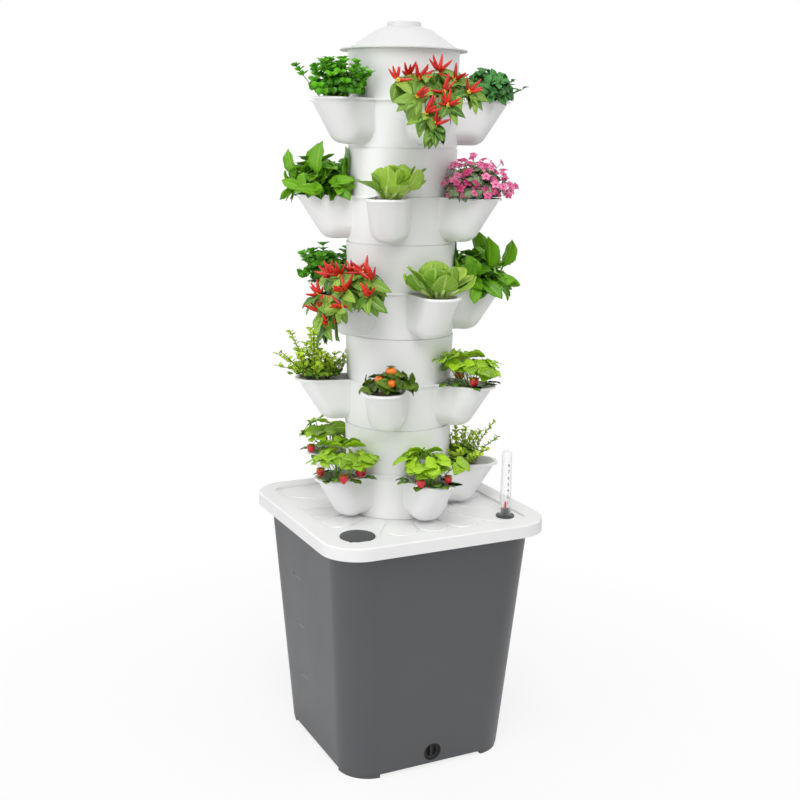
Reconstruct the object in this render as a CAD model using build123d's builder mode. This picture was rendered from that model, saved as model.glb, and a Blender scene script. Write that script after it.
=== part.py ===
"""Hydroponic growing tower: a water tank, a tray lid, five turning planter tiers and a cap.

Millimetres, +Z up. The origin is on the floor, under the middle of the tower.
"""
import os
from math import atan2, cos, degrees, radians, sin

from build123d import *

os.makedirs("parts", exist_ok=True)

# Tank
foot_height = 6
foot_length = 48
foot_inset = 1.5
tank_height = 370
tank_base_side = 265
tank_top_side = 318
tank_corner = 50
tank_wall = 3
tank_floor = 4
tank_lip_width = 5
tank_lip_height = 4

# Lid
lid_side = 350
lid_corner = 55
lid_drop = 15
lid_wall = 3
lid_plate = 4
lid_edge_round = 2.5
tray_side = 292
tray_corner = 16
tray_depth = 3
petal_count = 16
petal_half_angle = 10
petal_root_radius = 101
petal_square = 282
petal_height = 1.6
petal_round = 1.2

# Tower
tier_count = 5
pot_count = 5
tier_pitch = 133
planter_height = 67
column_radius = 78
planter_wall = 2.5
planter_floor = 2.5
pot_reach = 152
pot_half_width = 26.5
pot_corner = 25
pot_base_reach = 112
pot_base_half_width = 25.5
pot_base_corner = 24.5
pot_base_height = 5
pot_base_round = 22
pot_crease_round = 1.5
lip_width = 2.2
lip_height = 3
lip_round = 0.9
seam_height = 1.2
seam_depth = 1.6
weep_count = 10
weep_radius = 3
weep_circle = 52
hub_radius = 17
hub_height = 14
neck_base_radius = 77
neck_top_radius = 79.2
neck_wall = 2.5
spigot_depth = 10
collar_radius = 71
collar_width = 3
collar_height = 4
odd_tier_turn = -90
top_tier_trim = -3

# Top cap
brim_radius = 90
brim_height = 1.6
roof_foot_radius = 78
roof_foot_rise = 3.4
roof_bend_radius = 40
roof_bend_rise = 28
roof_top_radius = 25
roof_top_rise = 33.5
roof_wall = 2.4
disc_radius = 23.8
disc_height = 6
disc_round = 1.6

# Filler cap
filler_offset = 118.5
filler_radius = 25
filler_rebate = 1
filler_proud = 1.5
filler_plug_radius = 16.5
filler_plug_depth = 7
filler_wall = 2
filler_border = 4.5
notch_radius = 2.6

# Level gauge
gauge_right = 119
gauge_front = 122
gauge_flange_radius = 13.5
gauge_flange_height = 2.5
gauge_knob_radius = 6.6
gauge_knob_height = 9
gauge_stem_radius = 9
gauge_stem_depth = 44
gauge_tube_radius = 8.6
gauge_tube_top_radius = 7.6
gauge_tube_height = 99
gauge_tube_wall = 1.1
gauge_nub_radius = 1.6
gauge_nub_height = 2
gauge_rod_radius = 1.2
gauge_pointer_radius = 1.5
gauge_pointer_height = 11
float_radius = 11
float_height = 36
float_low = 205
float_round = 3

# Drain
drain_height = 24
drain_radius = 14
drain_boss_wall = 4
drain_boss_length = 12
drain_recess = 4
plug_length = 12
plug_cup_radius = 9
plug_cup_depth = 5
plug_bar = 4
seal_width = 2.4
seal_depth = 2.2

# Pump
pump_width = 48
pump_block_height = 50
pump_motor_length = 50
pump_chamber_length = 34
pump_round = 5
pump_wall = 3
foot_cup_radius = 8
foot_cup_height = 7
foot_cup_inset = 10
rotor_radius = 10
rotor_length = 32
rotor_gap = 1
blade_count = 6
blade_radius = 15
blade_width = 10
blade_thickness = 2
shaft_radius = 2
shaft_fit = 0.05
outlet_radius = 9
outlet_bore = 6.5
outlet_height = 18
slot_count = 6
slot_width = 2.5
slot_length = 34
gland_radius = 5
gland_length = 8

# Riser and distributor
riser_radius = 11
riser_joint_height = 545
riser_top = 998
coupling_wall = 2.5
coupling_length = 50
head_radius = 34
head_height = 14
head_wall = 2
head_port_count = 10
head_port_radius = 2.2

# Net cups, sponges and plants
cup_circle = 104
cup_depth_in_pot = 9
cup_flange_height = 2
cup_flange_width = 3
cup_height = 30
cup_base_radius = 13.5
cup_wall = 1.5
cup_slot_count = 6
cup_slot_width = 3
sponge_height = 31
sponge_round = 1.5
stem_radius = 4
foliage_circle = 122
foliage_gap = 4
crown_steps = 8

# Clearances
fixed_clearance = 0.3
moving_clearance = 0.4

# Half spread and height of each crop's foliage above the rim
crops = {
    "parsley": (40, 60),
    "chili": (42, 62),
    "oregano": (38, 44),
    "spinach": (40, 64),
    "bok_choy": (34, 46),
    "begonia": (40, 58),
    "box_sprig": (40, 62),
    "tomato": (28, 36),
    "strawberry": (38, 54),
}

# Crops of each tier from the top, starting at its first pot and going anticlockwise
planting = (
    ("chili", "oregano", "parsley", "spinach", "parsley"),
    ("bok_choy", "begonia", "strawberry", "parsley", "spinach"),
    ("bok_choy", "spinach", "box_sprig", "parsley", "chili"),
    ("tomato", "strawberry", "tomato", "begonia", "box_sprig"),
    ("strawberry", "box_sprig", "spinach", "strawberry", "strawberry"),
)

# Heights that follow from the sizes above
floor_top = foot_height + tank_floor
lid_bottom = tank_height - lid_drop
lid_top = tank_height + lid_plate
tray_top = lid_top - tray_depth
tray_bottom = tray_top - lid_wall
petal_top = tray_top + petal_height
tower_top = tray_top + tier_count * tier_pitch
pot_slope = (pot_reach - pot_base_reach) / (planter_height - pot_base_height)
pot_front_wall = planter_wall * (1 + pot_slope**2) ** 0.5
planter_floor_top = pot_base_height + planter_floor


def tank_side(height):
    """Outside width of the tank at a height above the floor."""
    share = (height - foot_height) / (tank_height - foot_height)
    return tank_base_side + share * (tank_top_side - tank_base_side)


def save(piece, name):
    """Label a finished piece and write it."""
    piece.part.label = name
    export_step(piece.part, f"parts/{name}.step")


# Tank
drain_face = tank_side(drain_height) / 2
drain_plane = Plane((0, -drain_face, drain_height), x_dir=(1, 0, 0), z_dir=(0, -1, 0))

with BuildPart() as tank:
    with BuildSketch(Plane.XY.offset(foot_height)):
        RectangleRounded(tank_base_side, tank_base_side, tank_corner)
    with BuildSketch(Plane.XY.offset(tank_height)):
        RectangleRounded(tank_top_side, tank_top_side, tank_corner)
    loft()
    with BuildSketch():
        feet_side = tank_base_side - 2 * foot_inset
        RectangleRounded(feet_side, feet_side, tank_corner - foot_inset)
        Rectangle(tank_base_side, tank_base_side - 2 * foot_length, mode=Mode.SUBTRACT)
        Rectangle(tank_base_side - 2 * foot_length, tank_base_side, mode=Mode.SUBTRACT)
    extrude(amount=foot_height)
    with BuildSketch(Plane.XY.offset(tank_height)):
        lip_side = tank_top_side + 2 * tank_lip_width
        RectangleRounded(lip_side, lip_side, tank_corner + tank_lip_width)
    extrude(amount=-tank_lip_height)
    with BuildSketch(Plane.XY.offset(floor_top)):
        inner_base = tank_side(floor_top) - 2 * tank_wall
        RectangleRounded(inner_base, inner_base, tank_corner - tank_wall)
    with BuildSketch(Plane.XY.offset(tank_height)):
        inner_top = tank_top_side - 2 * tank_wall
        RectangleRounded(inner_top, inner_top, tank_corner - tank_wall)
    loft(mode=Mode.SUBTRACT)
    with BuildSketch(drain_plane.offset(-tank_wall / 2)):
        Circle(drain_radius + drain_boss_wall)
    extrude(amount=-drain_boss_length)
    with BuildSketch(drain_plane.offset(tank_wall)):
        Circle(drain_radius)
    extrude(amount=-drain_boss_length - 3 * tank_wall, mode=Mode.SUBTRACT)
save(tank, "tank")

# Drain plug with its grip bar and seal groove
plug_radius = drain_radius - moving_clearance
groove_start = drain_recess + plug_cup_depth + seal_width / 2

with BuildPart() as drain_plug:
    with BuildSketch(drain_plane.offset(-drain_recess)):
        Circle(plug_radius)
    extrude(amount=-plug_length)
    with BuildSketch(drain_plane.offset(-drain_recess)):
        Circle(plug_cup_radius)
        Rectangle(plug_bar, 2 * plug_cup_radius, mode=Mode.SUBTRACT)
    extrude(amount=-plug_cup_depth, mode=Mode.SUBTRACT)
    with BuildSketch(drain_plane.offset(-groove_start)):
        Circle(plug_radius)
        Circle(plug_radius - seal_depth, mode=Mode.SUBTRACT)
    extrude(amount=-seal_width, mode=Mode.SUBTRACT)
save(drain_plug, "drain_plug")

with BuildPart() as drain_seal:
    with BuildSketch(drain_plane.offset(-groove_start)):
        Circle(plug_radius)
        Circle(plug_radius - seal_depth, mode=Mode.SUBTRACT)
    extrude(amount=-seal_width)
save(drain_seal, "drain_seal")

# Lid, with petals that end in a square and one of them under the filler cap
filler_place = (-filler_offset, -filler_offset)
filler_reach = filler_offset * 2**0.5
gauge_place = (gauge_right, -gauge_front)
rebate_radius = filler_radius + moving_clearance
notch_place = -filler_offset - rebate_radius * cos(radians(45))
petal_spread = sin(radians(petal_half_angle))
filler_turn = 225


def petal_plan(turn):
    """Plan of one petal along +X: straight sides from its root to a round tip."""
    across = max(abs(cos(radians(turn))), abs(sin(radians(turn))))
    tip_radius = petal_square / 2 / (across + petal_spread)
    tip_round = tip_radius * petal_spread
    if turn == filler_turn:
        tip_radius = filler_reach
        tip_round = filler_radius + filler_border
    with BuildSketch() as plan:
        with Locations((petal_root_radius, 0)):
            Circle(petal_root_radius * petal_spread)
        with Locations((tip_radius, 0)):
            Circle(tip_round)
        make_hull()
    return plan.sketch


with BuildPart() as petals:
    with BuildSketch(Plane.XY.offset(tray_top)):
        for number in range(petal_count):
            turn = number * 360 / petal_count
            with Locations(Location((0, 0, 0), (0, 0, turn))):
                add(petal_plan(turn))
    extrude(amount=petal_height)
    fillet(petals.faces().filter_by_position(Axis.Z, petal_top, petal_top).edges(), petal_round)

with BuildPart() as lid:
    with BuildSketch(Plane.XY.offset(lid_bottom)):
        RectangleRounded(lid_side, lid_side, lid_corner)
    extrude(amount=lid_top - lid_bottom)
    fillet(lid.faces().sort_by(Axis.Z)[-1].edges(), lid_edge_round)
    with BuildSketch(Plane.XY.offset(lid_bottom)):
        skirt_side = lid_side - 2 * lid_wall
        RectangleRounded(skirt_side, skirt_side, lid_corner - lid_wall)
    extrude(amount=lid_drop, mode=Mode.SUBTRACT)
    with BuildSketch(Plane.XY.offset(tray_bottom)):
        RectangleRounded(tray_side, tray_side, tray_corner)
        mouth_side = tank_side(tray_bottom) - 2 * (tank_wall + moving_clearance)
        mouth_corner = tank_corner - tank_wall - moving_clearance
        RectangleRounded(mouth_side, mouth_side, mouth_corner, mode=Mode.INTERSECT)
    extrude(amount=lid_wall)
    with BuildSketch(Plane.XY.offset(tray_top)):
        RectangleRounded(tray_side, tray_side, tray_corner)
    extrude(amount=tray_depth, mode=Mode.SUBTRACT)
    add(petals.part)
    with BuildSketch(Plane.XY.offset(tray_top)):
        Circle(collar_radius)
    extrude(amount=collar_height)
    with BuildSketch(Plane.XY.offset(tray_bottom)):
        Circle(collar_radius - collar_width)
        with Locations(filler_place):
            Circle(filler_plug_radius + moving_clearance)
        with Locations(gauge_place):
            Circle(gauge_stem_radius + fixed_clearance)
    extrude(amount=lid_top, mode=Mode.SUBTRACT)
    with BuildSketch(Plane.XY.offset(petal_top)):
        with Locations(filler_place):
            Circle(rebate_radius)
    extrude(amount=-filler_rebate, mode=Mode.SUBTRACT)
    with BuildSketch(Plane.XY.offset(petal_top)):
        with Locations((notch_place, notch_place)):
            Circle(notch_radius)
    extrude(amount=tray_bottom - petal_top, mode=Mode.SUBTRACT)
save(lid, "lid")

# Filler cap
with BuildPart() as filler_cap:
    with BuildSketch(Plane.XY.offset(petal_top - filler_rebate)):
        with Locations(filler_place):
            Circle(filler_radius)
    extrude(amount=filler_rebate + filler_proud)
    fillet(filler_cap.edges().sort_by(Axis.Z)[-1], filler_proud / 2)
    with BuildSketch(Plane.XY.offset(petal_top - filler_rebate)):
        with Locations(filler_place):
            Circle(filler_plug_radius)
            Circle(filler_plug_radius - filler_wall, mode=Mode.SUBTRACT)
    extrude(amount=-filler_plug_depth)
save(filler_cap, "filler_cap")

# Level gauge
knob_bottom = petal_top + gauge_flange_height
knob_top = knob_bottom + gauge_knob_height
tube_top = knob_bottom + gauge_tube_height

with BuildPart() as gauge_base:
    with BuildSketch(Plane.XY.offset(petal_top)):
        with Locations(gauge_place):
            Circle(gauge_flange_radius)
    extrude(amount=gauge_flange_height)
    with BuildSketch(Plane.XY.offset(knob_bottom)):
        with Locations(gauge_place):
            Circle(gauge_knob_radius)
    extrude(amount=gauge_knob_height)
    with BuildSketch(Plane.XY.offset(petal_top)):
        with Locations(gauge_place):
            Circle(gauge_stem_radius)
    extrude(amount=-gauge_stem_depth)
    with BuildSketch(Plane.XY.offset(knob_top)):
        with Locations(gauge_place):
            Circle(gauge_rod_radius + moving_clearance)
    extrude(amount=-gauge_knob_height - gauge_flange_height - gauge_stem_depth, mode=Mode.SUBTRACT)
save(gauge_base, "gauge_base")

gauge_plane = Plane((*gauge_place, knob_bottom), x_dir=(1, 0, 0), z_dir=(0, -1, 0))
dome_start = gauge_tube_height - gauge_tube_top_radius

with BuildPart() as gauge_tube:
    with BuildSketch(gauge_plane):
        with BuildLine():
            outside = Line((gauge_tube_radius, 0), (gauge_tube_top_radius, dome_start))
            dome = RadiusArc(outside @ 1, (0, gauge_tube_height), -gauge_tube_top_radius)
            inner_top = gauge_tube_top_radius - gauge_tube_wall
            down = Line(dome @ 1, (0, dome_start + inner_top))
            inside_dome = RadiusArc(down @ 1, (inner_top, dome_start), inner_top)
            inside = Line(inside_dome @ 1, (gauge_tube_radius - gauge_tube_wall, 0))
            Line(inside @ 1, outside @ 0)
        make_face()
    revolve(axis=Axis((*gauge_place, 0), (0, 0, 1)))
    with BuildSketch(Plane.XY.offset(tube_top - gauge_tube_wall / 2)):
        with Locations(gauge_place):
            Circle(gauge_nub_radius)
    extrude(amount=gauge_nub_height + gauge_tube_wall / 2)
save(gauge_tube, "gauge_tube")

pointer_bottom = knob_top + fixed_clearance

with BuildPart() as gauge_pointer:
    with BuildSketch(Plane.XY.offset(pointer_bottom)):
        with Locations(gauge_place):
            Circle(gauge_pointer_radius)
    extrude(amount=gauge_pointer_height)
    chamfer(gauge_pointer.edges().sort_by(Axis.Z)[-1], gauge_pointer_radius / 2)
save(gauge_pointer, "gauge_pointer")

with BuildPart() as gauge_rod:
    with BuildSketch(Plane.XY.offset(float_low + float_height)):
        with Locations(gauge_place):
            Circle(gauge_rod_radius)
    extrude(amount=pointer_bottom - float_low - float_height)
save(gauge_rod, "gauge_rod")

with BuildPart() as gauge_float:
    with BuildSketch(Plane.XY.offset(float_low)):
        with Locations(gauge_place):
            Circle(float_radius)
    extrude(amount=float_height)
    fillet(gauge_float.edges().filter_by(GeomType.CIRCLE), float_round)
save(gauge_float, "gauge_float")

# Pump, with its shaft along Y and its outlet under the middle of the tower
pump_bottom = floor_top + foot_cup_height
pump_axis_height = pump_bottom + pump_block_height / 2
chamber_back = pump_chamber_length / 2
chamber_front = -chamber_back
rotor_plane = Plane((0, chamber_back, pump_axis_height), x_dir=(1, 0, 0), z_dir=(0, 1, 0))
well_depth = rotor_length + rotor_gap
blade_start = -rotor_gap - blade_width
shaft_front = chamber_front + pump_wall
shaft_back = chamber_back + well_depth + pump_wall

with BuildPart() as pump_housing:
    with BuildSketch(rotor_plane):
        RectangleRounded(pump_width, pump_block_height, pump_round)
    extrude(amount=pump_motor_length)
    fillet(pump_housing.faces().sort_by(Axis.Y)[-1].edges(), pump_round / 2)
    with BuildSketch(rotor_plane):
        Circle(rotor_radius + rotor_gap)
    extrude(amount=well_depth, mode=Mode.SUBTRACT)
    with BuildSketch(rotor_plane):
        Circle(shaft_radius)
    extrude(amount=well_depth + pump_wall, mode=Mode.SUBTRACT)
    with BuildSketch(rotor_plane.offset(pump_motor_length)):
        Circle(gland_radius)
    extrude(amount=gland_length)
save(pump_housing, "pump_housing")

with BuildPart() as pump_cover:
    with BuildSketch(rotor_plane):
        RectangleRounded(pump_width, pump_block_height, pump_round)
    extrude(amount=-pump_chamber_length)
    fillet(pump_cover.faces().sort_by(Axis.Y)[0].edges(), pump_round / 2)
    with BuildSketch(rotor_plane):
        Circle(pump_width / 2 - pump_wall)
    extrude(amount=-pump_chamber_length + 2 * pump_wall, mode=Mode.SUBTRACT)
    with BuildSketch(rotor_plane.offset(-pump_chamber_length)):
        with GridLocations(pump_width / (slot_count + 1), 1, slot_count, 1):
            SlotOverall(slot_length, slot_width, rotation=90)
        Circle(2 * shaft_radius, mode=Mode.SUBTRACT)
    extrude(amount=2 * pump_wall, mode=Mode.SUBTRACT)
    with BuildSketch(Plane.XY.offset(pump_bottom + pump_block_height - pump_wall)):
        Circle(outlet_radius)
    extrude(amount=pump_wall + outlet_height)
    with BuildSketch(Plane.XY.offset(pump_axis_height)):
        Circle(outlet_bore)
    extrude(amount=pump_block_height / 2 + outlet_height, mode=Mode.SUBTRACT)
    with BuildSketch(rotor_plane):
        Circle(shaft_radius)
    extrude(amount=-pump_chamber_length + pump_wall, mode=Mode.SUBTRACT)
save(pump_cover, "pump_cover")

with BuildPart() as pump_shaft:
    with BuildSketch(rotor_plane.offset(shaft_front - chamber_back)):
        Circle(shaft_radius)
    extrude(amount=shaft_back - shaft_front)
save(pump_shaft, "pump_shaft")

with BuildPart() as pump_rotor:
    with BuildSketch(rotor_plane):
        Circle(rotor_radius)
    extrude(amount=rotor_length)
    with BuildSketch(rotor_plane.offset(blade_start)):
        Circle(rotor_radius / 2)
        with PolarLocations(0, blade_count):
            Rectangle(blade_radius, blade_thickness, align=(Align.MIN, Align.CENTER))
    extrude(amount=blade_width + rotor_gap)
    with BuildSketch(rotor_plane.offset(blade_start)):
        Circle(shaft_radius + shaft_fit)
    extrude(amount=rotor_length + blade_width + rotor_gap, mode=Mode.SUBTRACT)
save(pump_rotor, "pump_rotor")

pump_middle = (chamber_front + chamber_back + pump_motor_length) / 2
foot_span_x = pump_width - 2 * foot_cup_inset
foot_span_y = pump_chamber_length + pump_motor_length - 2 * foot_cup_inset

with BuildPart() as pump_feet:
    with BuildSketch(Plane.XY.offset(floor_top)):
        with Locations((0, pump_middle)):
            with GridLocations(foot_span_x, foot_span_y, 2, 2):
                Circle(foot_cup_radius)
    extrude(amount=foot_cup_height, taper=degrees(atan2(foot_cup_radius / 2, foot_cup_height)))
save(pump_feet, "pump_feet")

# Riser pipe in two lengths
outlet_top = pump_bottom + pump_block_height + outlet_height
riser_bottom = outlet_top - outlet_height
riser_bore = outlet_radius + shaft_fit


def pipe(name, bottom, top, outer, bore):
    """A plain upright pipe on the tower's axis."""
    with BuildPart() as tube:
        with BuildSketch(Plane.XY.offset(bottom)):
            Circle(outer)
            Circle(bore, mode=Mode.SUBTRACT)
        extrude(amount=top - bottom)
    save(tube, name)


pipe("riser_lower", riser_bottom, riser_joint_height, riser_radius, riser_bore)
pipe("riser_upper", riser_joint_height, riser_top, riser_radius, riser_bore)
coupling_bore = riser_radius + shaft_fit
coupling_bottom = riser_joint_height - coupling_length / 2
pipe(
    "riser_coupling",
    coupling_bottom,
    coupling_bottom + coupling_length,
    coupling_bore + coupling_wall,
    coupling_bore,
)

head_taper = degrees(atan2(head_radius / 3, head_height))

with BuildPart() as distributor:
    with BuildSketch(Plane.XY.offset(riser_top)):
        Circle(head_radius)
    extrude(amount=head_height, taper=head_taper)
    with BuildSketch(Plane.XY.offset(riser_top)):
        Circle(head_radius - 2 * head_wall)
    extrude(amount=head_height - 2 * head_wall, taper=head_taper, mode=Mode.SUBTRACT)
    with BuildSketch(Plane.XY.offset(riser_top)):
        Circle(head_radius)
        Circle(riser_bore, mode=Mode.SUBTRACT)
        with PolarLocations(head_radius - 4 * head_wall, head_port_count):
            Circle(head_port_radius, mode=Mode.SUBTRACT)
    extrude(amount=head_wall)
save(distributor, "distributor")


# One pot, pointing along +X from inside the column, and the hollow in it
pot_root = column_radius - 4 * planter_wall


def pot_plan(height, reach, half_width, corner):
    """Plan of a pot at one height: straight sides and a rounded front."""
    with BuildSketch(Plane.XY.offset(height)) as plan:
        with Locations((pot_root, 0)):
            Rectangle(reach - pot_root, 2 * half_width, align=(Align.MIN, Align.CENTER))
        fillet(plan.vertices().group_by(Axis.X)[-1], corner)
    return plan.sketch


rim_plan = pot_plan(planter_height, pot_reach, pot_half_width, pot_corner)
inner_share = planter_floor / (planter_height - pot_base_height)
inner_reach = pot_base_reach + inner_share * (pot_reach - pot_base_reach) - pot_front_wall
inner_half_width = pot_base_half_width + inner_share * (pot_half_width - pot_base_half_width) - planter_wall

with BuildPart() as pot:
    add(pot_plan(pot_base_height, pot_base_reach, pot_base_half_width, pot_base_corner))
    add(rim_plan)
    loft()
    floor_edges = pot.faces().sort_by(Axis.Z)[0].edges()
    fillet(floor_edges.sort_by(Axis.X)[1:], pot_base_round)

with BuildPart() as hollow:
    add(pot_plan(planter_floor_top, inner_reach, inner_half_width, pot_base_corner - planter_wall))
    rim_hollow = (pot_reach - pot_front_wall, pot_half_width - planter_wall, pot_corner - planter_wall)
    add(pot_plan(planter_height, *rim_hollow))
    loft()
    floor_edges = hollow.faces().sort_by(Axis.Z)[0].edges()
    fillet(floor_edges.sort_by(Axis.X)[1:], pot_base_round - planter_wall)


def tier_turn(tier):
    """Turn of a tier's first pot, in degrees: neighbouring tiers are half a pot apart."""
    half_step = 180 / pot_count
    trim = top_tier_trim if tier == 1 else 0
    return odd_tier_turn + trim - (half_step if tier % 2 == 0 else 0)


def tier_plane(tier):
    """Plane on the bottom of a planter, with X along its first pot."""
    turn = radians(tier_turn(tier))
    height = tray_top + (tier_count - tier) * tier_pitch
    return Plane((0, 0, height), x_dir=(cos(turn), sin(turn), 0), z_dir=(0, 0, 1))


def build_planter(tier):
    """Ring of pots round a column, open at the top, with a drained floor."""
    plane = tier_plane(tier)
    column_bore = column_radius - planter_wall
    with BuildPart(plane) as planter:
        with BuildSketch(plane):
            Circle(column_radius)
        extrude(amount=planter_height)
        with PolarLocations(0, pot_count):
            add(pot.part)
        creases = planter.edges().filter_by(
            lambda e: abs((e @ 0.5 - plane.origin).cross(Vector(0, 0, 1)).length - column_radius) < 0.01
            and e.bounding_box().size.Z > planter_height / 2
        )
        fillet(creases, pot_crease_round)
        with BuildSketch(plane.offset(planter_height - lip_height)):
            Circle(column_radius)
            with PolarLocations(0, pot_count):
                add(rim_plan)
            offset(amount=lip_width)
        extrude(amount=lip_height)
        fillet(planter.faces().sort_by(Axis.Z)[-1].outer_wire().edges(), lip_round)
        with BuildSketch(plane.offset(planter_floor_top)):
            Circle(column_bore)
        extrude(amount=planter_height, mode=Mode.SUBTRACT)
        with PolarLocations(0, pot_count):
            add(hollow.part, mode=Mode.SUBTRACT)
        with BuildSketch(plane):
            Circle(collar_radius + moving_clearance)
        extrude(amount=pot_base_height, mode=Mode.SUBTRACT)
        with BuildSketch(plane):
            Circle(column_radius)
            Circle(column_radius - seam_depth, mode=Mode.SUBTRACT)
        extrude(amount=seam_height, mode=Mode.SUBTRACT)
        with BuildSketch(plane.offset(pot_base_height)):
            Circle(hub_radius + planter_wall)
        extrude(amount=hub_height)
        with BuildSketch(plane.offset(pot_base_height)):
            Circle(hub_radius)
            with PolarLocations(weep_circle, weep_count):
                Circle(weep_radius)
        extrude(amount=hub_height, mode=Mode.SUBTRACT)
    save(planter, f"planter_{tier}")


def build_neck(tier):
    """Tube on a planter's rim, with a collar on top that the next piece turns round."""
    plane = tier_plane(tier).offset(planter_height)
    neck_height = tier_pitch - planter_height
    spigot_radius = column_radius - planter_wall - fixed_clearance
    profile = Plane(plane.origin, x_dir=plane.x_dir, z_dir=-plane.y_dir)
    with BuildPart() as neck:
        with BuildSketch(profile):
            with BuildLine():
                Polyline(
                    (spigot_radius - neck_wall, -spigot_depth),
                    (spigot_radius, -spigot_depth),
                    (spigot_radius, 0),
                    (neck_base_radius, 0),
                    (neck_top_radius, neck_height),
                    (collar_radius, neck_height),
                    (collar_radius, neck_height + collar_height),
                    (collar_radius - collar_width, neck_height + collar_height),
                    (collar_radius - collar_width, neck_height - neck_wall),
                    (neck_top_radius - neck_wall, neck_height - neck_wall),
                    (neck_base_radius - neck_wall, neck_wall),
                    (spigot_radius - neck_wall, neck_wall),
                    close=True,
                )
            make_face()
        revolve(axis=Axis.Z)
    save(neck, f"neck_{tier}")


# A net cup's flange wedges between the sloping sides of its pot
flange_top = planter_height - cup_depth_in_pot
flange_share = (planter_height - pot_base_height - cup_depth_in_pot) / (planter_height - pot_base_height)
flange_pot_width = pot_base_half_width + flange_share * (pot_half_width - pot_base_half_width)
cup_flange_radius = flange_pot_width - planter_wall - fixed_clearance
cup_top_radius = cup_flange_radius - cup_flange_width
cup_bottom = flange_top - cup_height
sponge_bottom = cup_bottom + cup_wall
sponge_top = sponge_bottom + sponge_height

with BuildPart() as net_cup:
    with BuildSketch(Plane.XZ):
        with BuildLine():
            Polyline(
                (0, cup_bottom),
                (cup_base_radius, cup_bottom),
                (cup_top_radius, flange_top - cup_flange_height),
                (cup_flange_radius, flange_top - cup_flange_height),
                (cup_flange_radius, flange_top),
                (cup_top_radius - cup_wall, flange_top),
                (cup_base_radius - cup_wall, cup_bottom + cup_wall),
                (0, cup_bottom + cup_wall),
                close=True,
            )
        make_face()
    revolve(axis=Axis.Z)
    with BuildSketch(Plane.XY.offset(cup_bottom + 2 * cup_wall)):
        with PolarLocations(0, cup_slot_count):
            Rectangle(cup_flange_radius, cup_slot_width, align=(Align.MIN, Align.CENTER))
    extrude(amount=cup_height - cup_flange_height - 4 * cup_wall, mode=Mode.SUBTRACT)

# The sponge is a plug that fills the cup and stands a little out of it
cup_slope = (cup_top_radius - cup_base_radius) / (cup_height - cup_wall)
sponge_base_radius = cup_base_radius - cup_wall - fixed_clearance

with BuildPart() as sponge:
    with Locations((0, 0, sponge_bottom)):
        Cone(
            sponge_base_radius,
            sponge_base_radius + cup_slope * sponge_height,
            sponge_height,
            align=(Align.CENTER, Align.CENTER, Align.MIN),
        )
    fillet(sponge.edges().sort_by(Axis.Z)[-1], sponge_round)


def build_foliage(crop):
    """Stem and crown of one crop, with its stem on the axis of its net cup."""
    spread, height = crops[crop]
    low = planter_height + foliage_gap
    lean = foliage_circle - cup_circle
    with BuildPart() as foliage:
        with BuildSketch(Plane.XZ):
            with BuildLine():
                turns = [radians(180 * i / crown_steps) for i in range(crown_steps + 1)]
                Polyline(
                    *[(spread * sin(t), low + height * (1 - cos(t)) / 2) for t in turns[1:-1]],
                    (0, low + height),
                    (0, low),
                    close=True,
                )
            make_face()
        revolve(axis=Axis.Z)
        with BuildSketch(Plane.XY.offset(sponge_top)):
            with Locations((-lean, 0)):
                Circle(stem_radius)
        extrude(amount=low + height / 2 - sponge_top)
    return foliage.part


foliage = {crop: build_foliage(crop) for crop in crops}


def build_crops(tier):
    """Net cups, sponges and plants of one tier."""
    plane = tier_plane(tier)
    step = 360 / pot_count
    with BuildPart(plane) as net_cups:
        with PolarLocations(cup_circle, pot_count):
            add(net_cup.part)
    save(net_cups, f"net_cups_{tier}")
    with BuildPart(plane) as sponges:
        with PolarLocations(cup_circle, pot_count):
            add(sponge.part)
    save(sponges, f"sponges_{tier}")
    with BuildPart(plane) as plants:
        for place, crop in enumerate(planting[tier - 1]):
            with PolarLocations(foliage_circle, 1, start_angle=place * step):
                add(foliage[crop])
    save(plants, f"plants_{tier}")


for tier in range(1, tier_count + 1):
    build_planter(tier)
    build_neck(tier)
    build_crops(tier)

# Top cap: a thin brim on the last neck, a bent roof and a flat disc
cap_plane = Plane((0, 0, tower_top), x_dir=(1, 0, 0), z_dir=(0, -1, 0))
socket_radius = collar_radius + moving_clearance

with BuildPart() as top_cap:
    with BuildSketch(cap_plane):
        with BuildLine():
            Polyline(
                (socket_radius, 0),
                (brim_radius, 0),
                (brim_radius, brim_height),
                (roof_foot_radius, roof_foot_rise),
                (roof_bend_radius, roof_bend_rise),
                (roof_top_radius, roof_top_rise),
                (0, roof_top_rise),
                (0, roof_top_rise - roof_wall),
                (roof_top_radius - roof_wall / 2, roof_top_rise - roof_wall),
                (roof_bend_radius - roof_wall / 2, roof_bend_rise - roof_wall),
                (socket_radius, collar_height + moving_clearance),
                close=True,
            )
        make_face()
    revolve(axis=Axis.Z)
    with BuildSketch(Plane.XY.offset(tower_top + roof_top_rise)):
        Circle(disc_radius)
    extrude(amount=disc_height)
    fillet(top_cap.edges().sort_by(Axis.Z)[-1], disc_round)
save(top_cap, "top_cap")
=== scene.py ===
"""Looks of the hydroponic growing tower: plastics, level marks and the crops in its pots."""
import random
from math import cos, hypot, pi, radians, sin

import bpy
from mathutils import Matrix, Vector


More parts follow.
